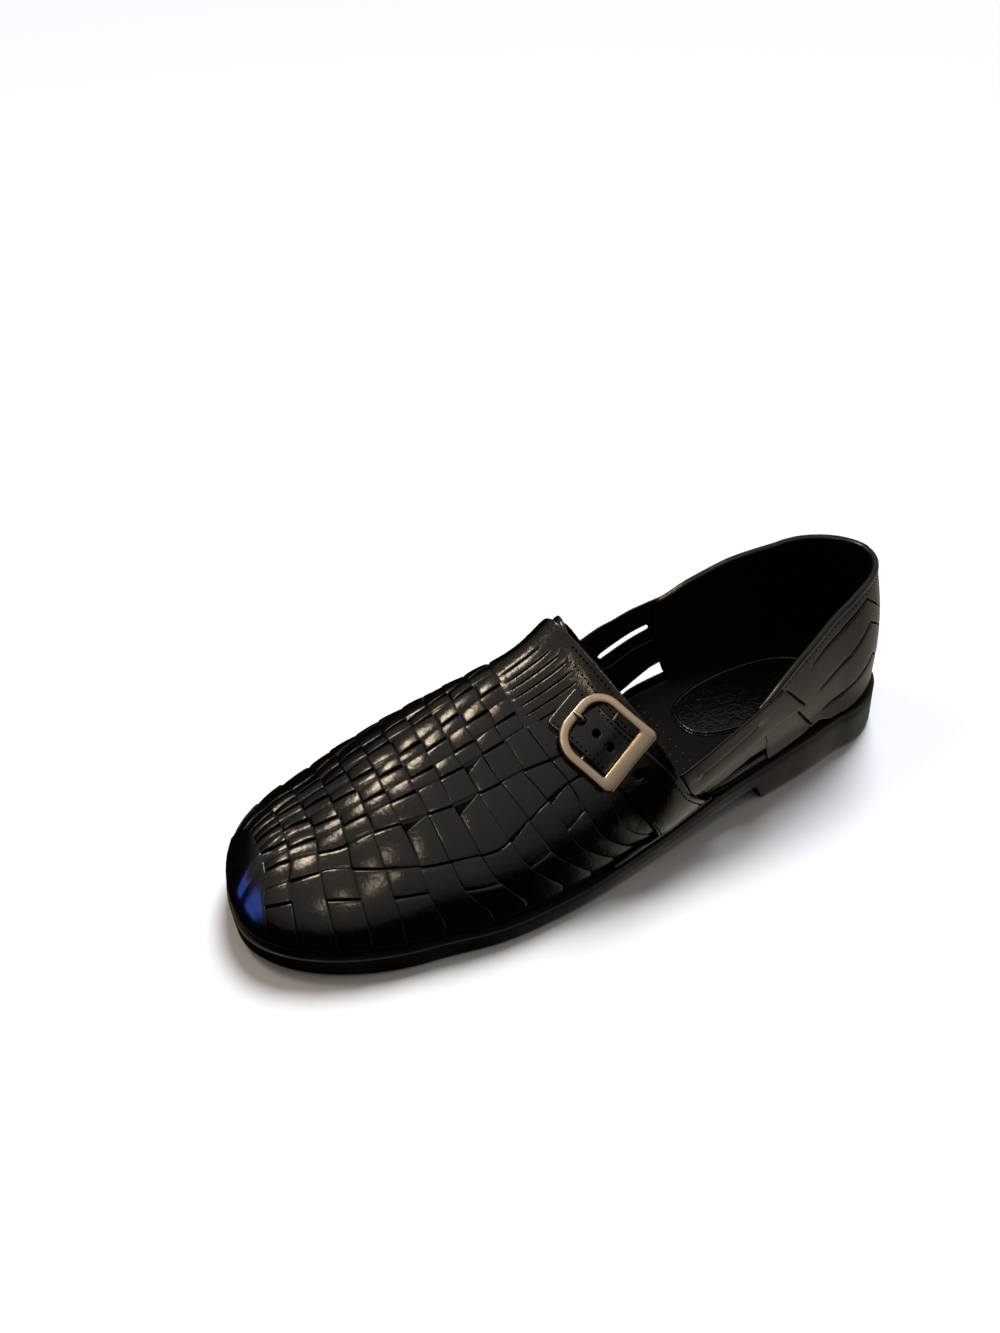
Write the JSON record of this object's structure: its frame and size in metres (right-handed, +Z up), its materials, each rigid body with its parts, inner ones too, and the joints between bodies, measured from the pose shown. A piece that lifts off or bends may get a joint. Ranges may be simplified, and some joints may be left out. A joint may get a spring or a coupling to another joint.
{
  "type": "fisherman shoe",
  "caption": "Left-foot leather fisherman shoe with a woven vamp, strapped sides, a buckle strap over the instep, a closed heel counter and a moulded sole with a low heel.",
  "frame": {"origin": "under the middle of the outsole's box, on the floor plane", "axes": "+X to the shoe's outer side, -Y to the toe, +Y to the heel, +Z up"},
  "size_m": [0.1106, 0.3, 0.0832],
  "materials": {
    "leather": "polished",
    "rubber": "satin",
    "lining": "matt",
    "nickel": "satin"
  },
  "bodies": {
    "root": {"outsole": "rubber", "insole": "lining", "upper": "leather", "buckle_strap": "leather", "buckle_frame": "nickel", "buckle_prong": "nickel"}
  },
  "joints": []
}
